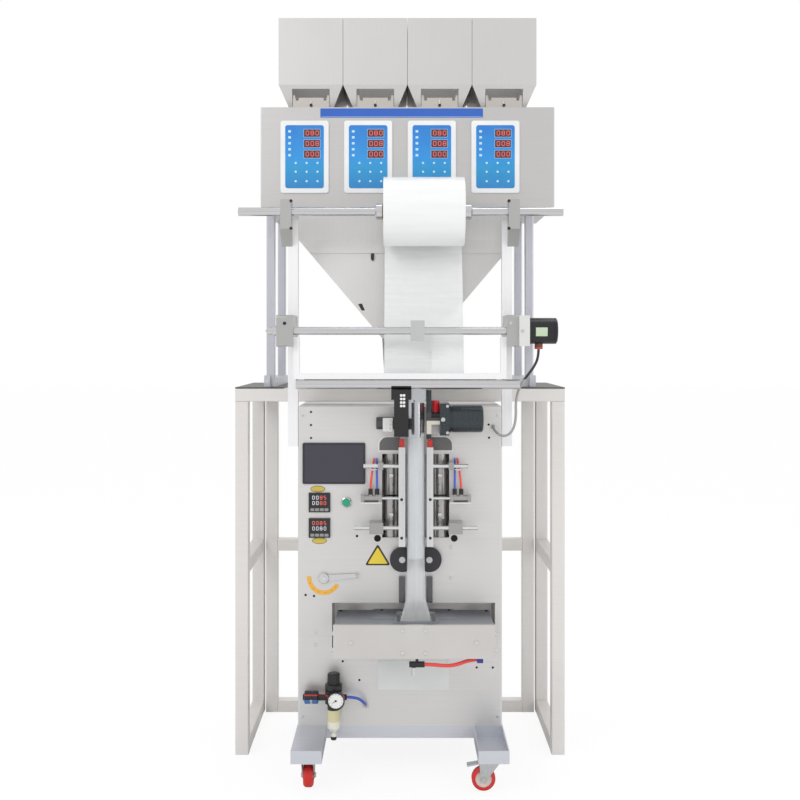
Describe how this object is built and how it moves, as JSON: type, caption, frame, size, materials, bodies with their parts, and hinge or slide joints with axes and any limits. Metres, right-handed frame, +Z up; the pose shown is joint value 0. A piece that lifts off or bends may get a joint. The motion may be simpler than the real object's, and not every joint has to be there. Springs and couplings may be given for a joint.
{
  "type": "weigher and vertical bagging machine",
  "caption": "Row of linear weigher heads on a tube stand, with a collecting funnel feeding a vertical form-fill-seal bagging machine on casters.",
  "frame": {"origin": "on the floor at the middle of the machine's box", "axes": "+Z up, +X to the operator's right when facing the front, front of the machine towards -Y"},
  "size_m": [0.95, 0.766, 2.118],
  "materials": {
    "bar_steel": "satin",
    "base_steel": "satin",
    "bezel_chrome": "polished",
    "block_aluminium": "satin",
    "button_green": "gloss",
    "cabinet_steel": "satin",
    "cable_black": "satin",
    "caster_red": "satin",
    "chute_steel": "satin",
    "column_steel": "satin",
    "controller_black": "satin",
    "cover_steel": "satin",
    "deck_steel": "satin",
    "film_clear": "satin",
    "funnel_steel": "satin",
    "hopper_steel": "satin",
    "jaw_steel": "satin",
    "knob_black": "satin",
    "lever_chrome": "polished",
    "motor_black": "satin",
    "panel_white": "gloss",
    "post_aluminium": "satin",
    "regulator_black": "satin",
    "screen_glass": "gloss",
    "sensor_black": "satin",
    "shaft_chrome": "polished",
    "stand_paint": "satin",
    "tray_steel": "satin",
    "tube_blue": "satin",
    "tube_red": "satin",
    "weigher_steel": "satin",
    "wheel_black": "matte",
    "zinc_steel": "satin"
  },
  "bodies": {
    "machine": {"air_regulator": "regulator_black", "bagger_cabinet": "cabinet_steel", "base_crossbars": "base_steel", "collecting_funnel": "funnel_steel", "control_panels": "panel_white", "deck_plates": "deck_steel", "drive_motor": "motor_black", "feed_hoppers": "hopper_steel", "feed_trays": "tray_steel", "film_guide_bar": "shaft_chrome", "film_sleeve": "film_clear", "film_web": "film_clear", "forming_tube": "chute_steel", "guide_frame": "post_aluminium", "leg_left": "base_steel", "leg_right": "base_steel", "mark_sensor": "sensor_black", "panel_bosses": "bezel_chrome", "rear_jaw": "bar_steel", "reel_blocks": "block_aluminium", "reel_posts": "post_aluminium", "regulator_tube": "tube_blue", "roller_brackets": "block_aluminium", "seal_tube_left_blue": "tube_blue", "seal_tube_left_red": "tube_red", "seal_tube_right_blue": "tube_blue", "seal_tube_right_red": "tube_red", "sealer_blocks": "block_aluminium", "sealer_covers": "cover_steel", "stand_cross_rails": "stand_paint", "stand_posts": "stand_paint", "stand_side_rails": "stand_paint", "temperature_controllers": "controller_black", "touch_screen": "screen_glass", "transfer_chute": "chute_steel", "unwind_motor": "motor_black", "unwind_motor_cable": "cable_black", "weigher_base_rails": "stand_paint", "weigher_cabinet": "weigher_steel", "weigher_columns": "column_steel"},
    "film_reel": {"reel_shaft": "shaft_chrome", "film_roll": "film_clear"},
    "unwind_roller": {"unwind_roller": "shaft_chrome"},
    "seal_bar_left": {"seal_bar_left": "bar_steel"},
    "seal_bar_right": {"seal_bar_right": "bar_steel"},
    "pull_wheel_left": {"pull_wheel_left": "wheel_black"},
    "pull_wheel_right": {"pull_wheel_right": "wheel_black"},
    "front_jaw": {"front_jaw": "jaw_steel", "jaw_tube": "tube_red"},
    "power_button": {"power_button": "button_green"},
    "adjusting_lever": {"adjusting_lever": "lever_chrome"},
    "regulator_knob": {"regulator_knob": "knob_black"},
    "caster_fork_front_left": {"caster_fork_front_left": "zinc_steel"},
    "caster_wheel_front_left": {"caster_wheel_front_left": "caster_red"},
    "caster_fork_front_right": {"caster_fork_front_right": "zinc_steel"},
    "caster_wheel_front_right": {"caster_wheel_front_right": "caster_red"},
    "caster_fork_rear_left": {"caster_fork_rear_left": "zinc_steel"},
    "caster_wheel_rear_left": {"caster_wheel_rear_left": "caster_red"},
    "caster_fork_rear_right": {"caster_fork_rear_right": "zinc_steel"},
    "caster_wheel_rear_right": {"caster_wheel_rear_right": "caster_red"}
  },
  "joints": [
    {"name": "reel_spin", "type": "hinge", "parent": "machine", "child": "film_reel", "pos_m": [0, -0.201, 1.548], "axis": [1, 0, 0], "continuous": true},
    {"name": "unwind_roller_spin", "type": "hinge", "parent": "machine", "child": "unwind_roller", "pos_m": [0, -0.275, 1.219], "axis": [1, 0, 0], "continuous": true},
    {"name": "seal_bar_left_slide", "type": "slide", "parent": "machine", "child": "seal_bar_left", "axis": [-1, 0, 0], "range_m": [0, 0.012]},
    {"name": "seal_bar_right_slide", "type": "slide", "parent": "machine", "child": "seal_bar_right", "axis": [1, 0, 0], "range_m": [0, 0.012]},
    {"name": "pull_wheel_left_spin", "type": "hinge", "parent": "machine", "child": "pull_wheel_left", "pos_m": [0.006, -0.19, 0.588], "axis": [0, 1, 0], "continuous": true},
    {"name": "pull_wheel_right_spin", "type": "hinge", "parent": "machine", "child": "pull_wheel_right", "pos_m": [0.081, -0.19, 0.588], "axis": [0, 1, 0], "continuous": true},
    {"name": "front_jaw_slide", "type": "slide", "parent": "machine", "child": "front_jaw", "axis": [0, -1, 0], "range_m": [0, 0.02]},
    {"name": "power_button_press", "type": "slide", "parent": "machine", "child": "power_button", "axis": [0, 1, 0], "range_m": [0, 0.003], "stiffness_N_per_m": 400},
    {"name": "adjusting_lever_turn", "type": "hinge", "parent": "machine", "child": "adjusting_lever", "pos_m": [-0.211, -0.183, 0.535], "axis": [0, 1, 0], "range_deg": [0, 150]},
    {"name": "regulator_knob_turn", "type": "hinge", "parent": "machine", "child": "regulator_knob", "pos_m": [-0.182, -0.214, 0.26], "axis": [0, 0, 1], "continuous": true},
    {"name": "caster_front_left_swivel", "type": "hinge", "parent": "machine", "child": "caster_fork_front_left", "pos_m": [-0.2445, -0.317, 0.08], "axis": [0, 0, 1], "continuous": true},
    {"name": "caster_front_left_roll", "type": "hinge", "parent": "caster_fork_front_left", "child": "caster_wheel_front_left", "pos_m": [-0.2445, -0.294, 0.0315], "axis": [1, 0, 0], "continuous": true},
    {"name": "caster_front_right_swivel", "type": "hinge", "parent": "machine", "child": "caster_fork_front_right", "pos_m": [0.2445, -0.317, 0.08], "axis": [0, 0, 1], "continuous": true},
    {"name": "caster_front_right_roll", "type": "hinge", "parent": "caster_fork_front_right", "child": "caster_wheel_front_right", "pos_m": [0.2215, -0.317, 0.0315], "axis": [0, 1, 0], "continuous": true},
    {"name": "caster_rear_left_swivel", "type": "hinge", "parent": "machine", "child": "caster_fork_rear_left", "pos_m": [-0.2445, 0.215, 0.08], "axis": [0, 0, 1], "continuous": true},
    {"name": "caster_rear_left_roll", "type": "hinge", "parent": "caster_fork_rear_left", "child": "caster_wheel_rear_left", "pos_m": [-0.2445, 0.238, 0.0315], "axis": [1, 0, 0], "continuous": true},
    {"name": "caster_rear_right_swivel", "type": "hinge", "parent": "machine", "child": "caster_fork_rear_right", "pos_m": [0.2445, 0.215, 0.08], "axis": [0, 0, 1], "continuous": true},
    {"name": "caster_rear_right_roll", "type": "hinge", "parent": "caster_fork_rear_right", "child": "caster_wheel_rear_right", "pos_m": [0.2445, 0.238, 0.0315], "axis": [1, 0, 0], "continuous": true}
  ],
  "couplings": [
    {"joint": "seal_bar_right_slide", "follows": "seal_bar_left_slide", "ratio": 1},
    {"joint": "pull_wheel_right_spin", "follows": "pull_wheel_left_spin", "ratio": -1}
  ]
}
